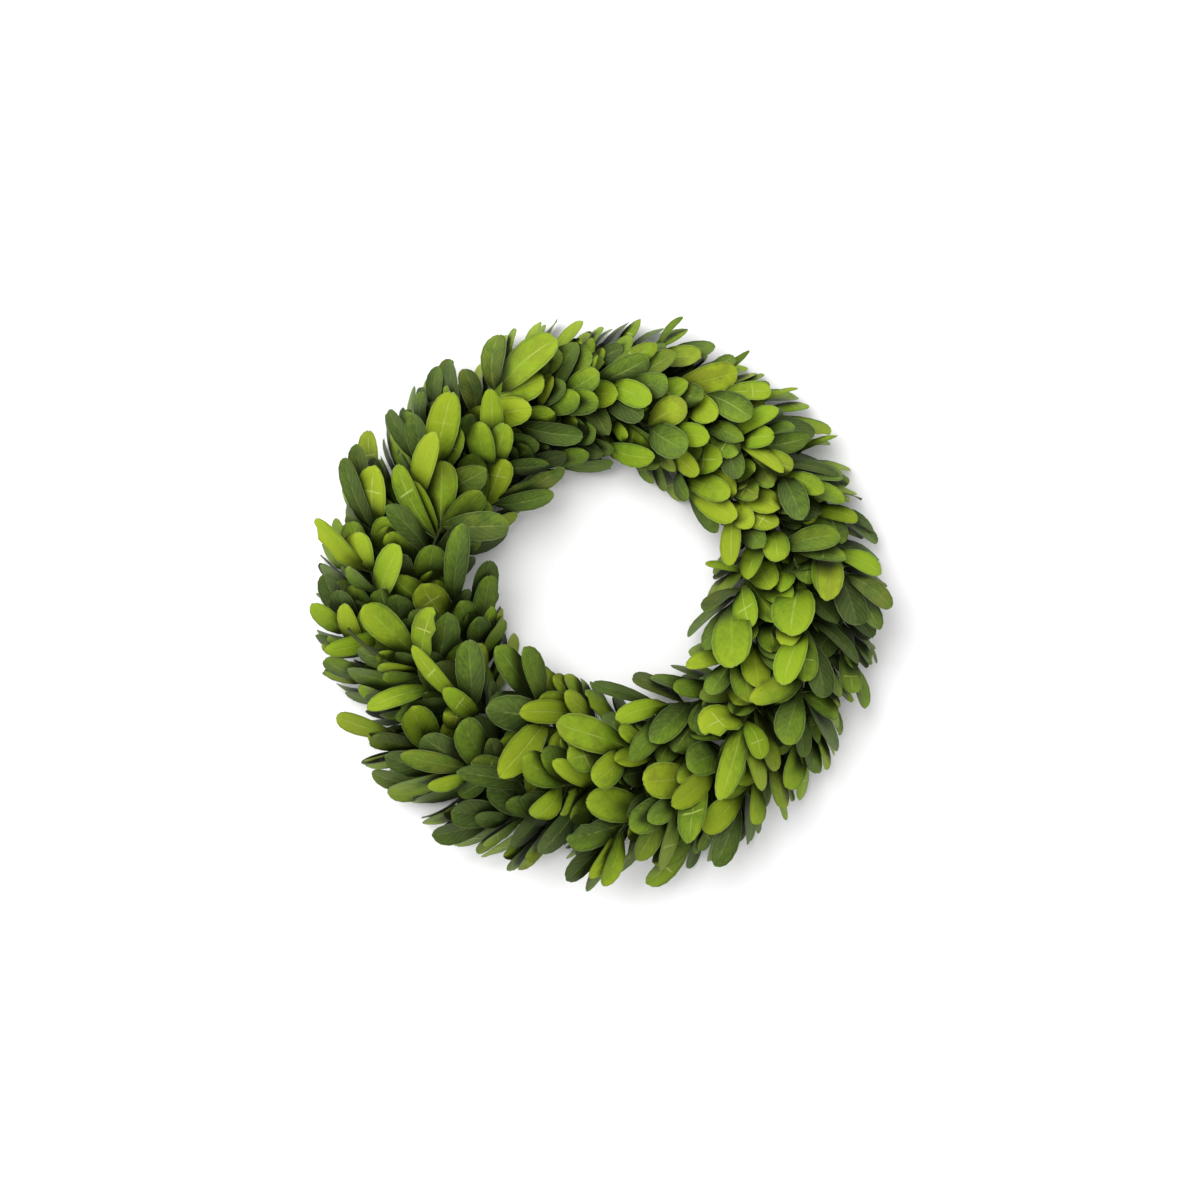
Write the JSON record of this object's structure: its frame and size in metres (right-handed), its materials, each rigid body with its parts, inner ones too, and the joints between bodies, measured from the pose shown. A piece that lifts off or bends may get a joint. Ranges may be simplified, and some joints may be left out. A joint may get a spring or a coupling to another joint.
{
  "type": "preserved boxwood wreath",
  "caption": "Small round wreath of preserved boxwood: overlapping leafy sprigs, all swept clockwise, bound with thin wire onto a flat welded wire ring.",
  "frame": {"origin": "middle of the foliage's outline, on the surface that the wreath's back rests on", "axes": "+Z out of the wreath's front, +Y towards the top of the picture, +X towards its right"},
  "size_m": [0.2026, 0.2025, 0.0481],
  "materials": {
    "frame_paint": "thin dark green paint on steel wire, satin",
    "wire_paint": "green paint on thin florist's wire, satin",
    "leaf_mid_green": "preserved boxwood leaf on its woody twig, satin, mostly mid green",
    "leaf_yellow_green": "preserved boxwood leaf on its woody twig, satin, mostly bright yellow green",
    "leaf_dark_green": "preserved boxwood leaf on its woody twig, satin, mostly dark blue green"
  },
  "bodies": {
    "root": {"wire_frame": "frame_paint", "binding_wire": "wire_paint", "sprig_01": "leaf_mid_green", "sprig_02": "leaf_yellow_green", "sprig_03": "leaf_dark_green", "sprig_04": "leaf_mid_green", "sprig_05": "leaf_yellow_green", "sprig_06": "leaf_dark_green", "sprig_07": "leaf_mid_green", "sprig_08": "leaf_yellow_green", "sprig_09": "leaf_dark_green", "sprig_10": "leaf_mid_green", "sprig_11": "leaf_yellow_green", "sprig_12": "leaf_dark_green", "sprig_13": "leaf_mid_green", "sprig_14": "leaf_yellow_green", "sprig_15": "leaf_dark_green", "sprig_16": "leaf_mid_green", "sprig_17": "leaf_yellow_green", "sprig_18": "leaf_dark_green", "sprig_19": "leaf_mid_green", "sprig_20": "leaf_yellow_green", "sprig_21": "leaf_dark_green", "sprig_22": "leaf_mid_green", "sprig_23": "leaf_yellow_green", "sprig_24": "leaf_dark_green", "sprig_25": "leaf_mid_green", "sprig_26": "leaf_yellow_green", "sprig_27": "leaf_dark_green", "sprig_28": "leaf_mid_green", "sprig_29": "leaf_yellow_green", "sprig_30": "leaf_dark_green", "sprig_31": "leaf_mid_green", "sprig_32": "leaf_yellow_green", "sprig_33": "leaf_dark_green", "sprig_34": "leaf_mid_green", "sprig_35": "leaf_yellow_green", "sprig_36": "leaf_dark_green", "sprig_37": "leaf_mid_green", "sprig_38": "leaf_yellow_green", "sprig_39": "leaf_dark_green", "sprig_40": "leaf_mid_green", "sprig_41": "leaf_yellow_green", "sprig_42": "leaf_dark_green", "sprig_43": "leaf_mid_green", "sprig_44": "leaf_yellow_green", "sprig_45": "leaf_dark_green", "sprig_46": "leaf_mid_green", "sprig_47": "leaf_yellow_green", "sprig_48": "leaf_dark_green", "sprig_49": "leaf_mid_green", "sprig_50": "leaf_yellow_green"}
  },
  "joints": []
}
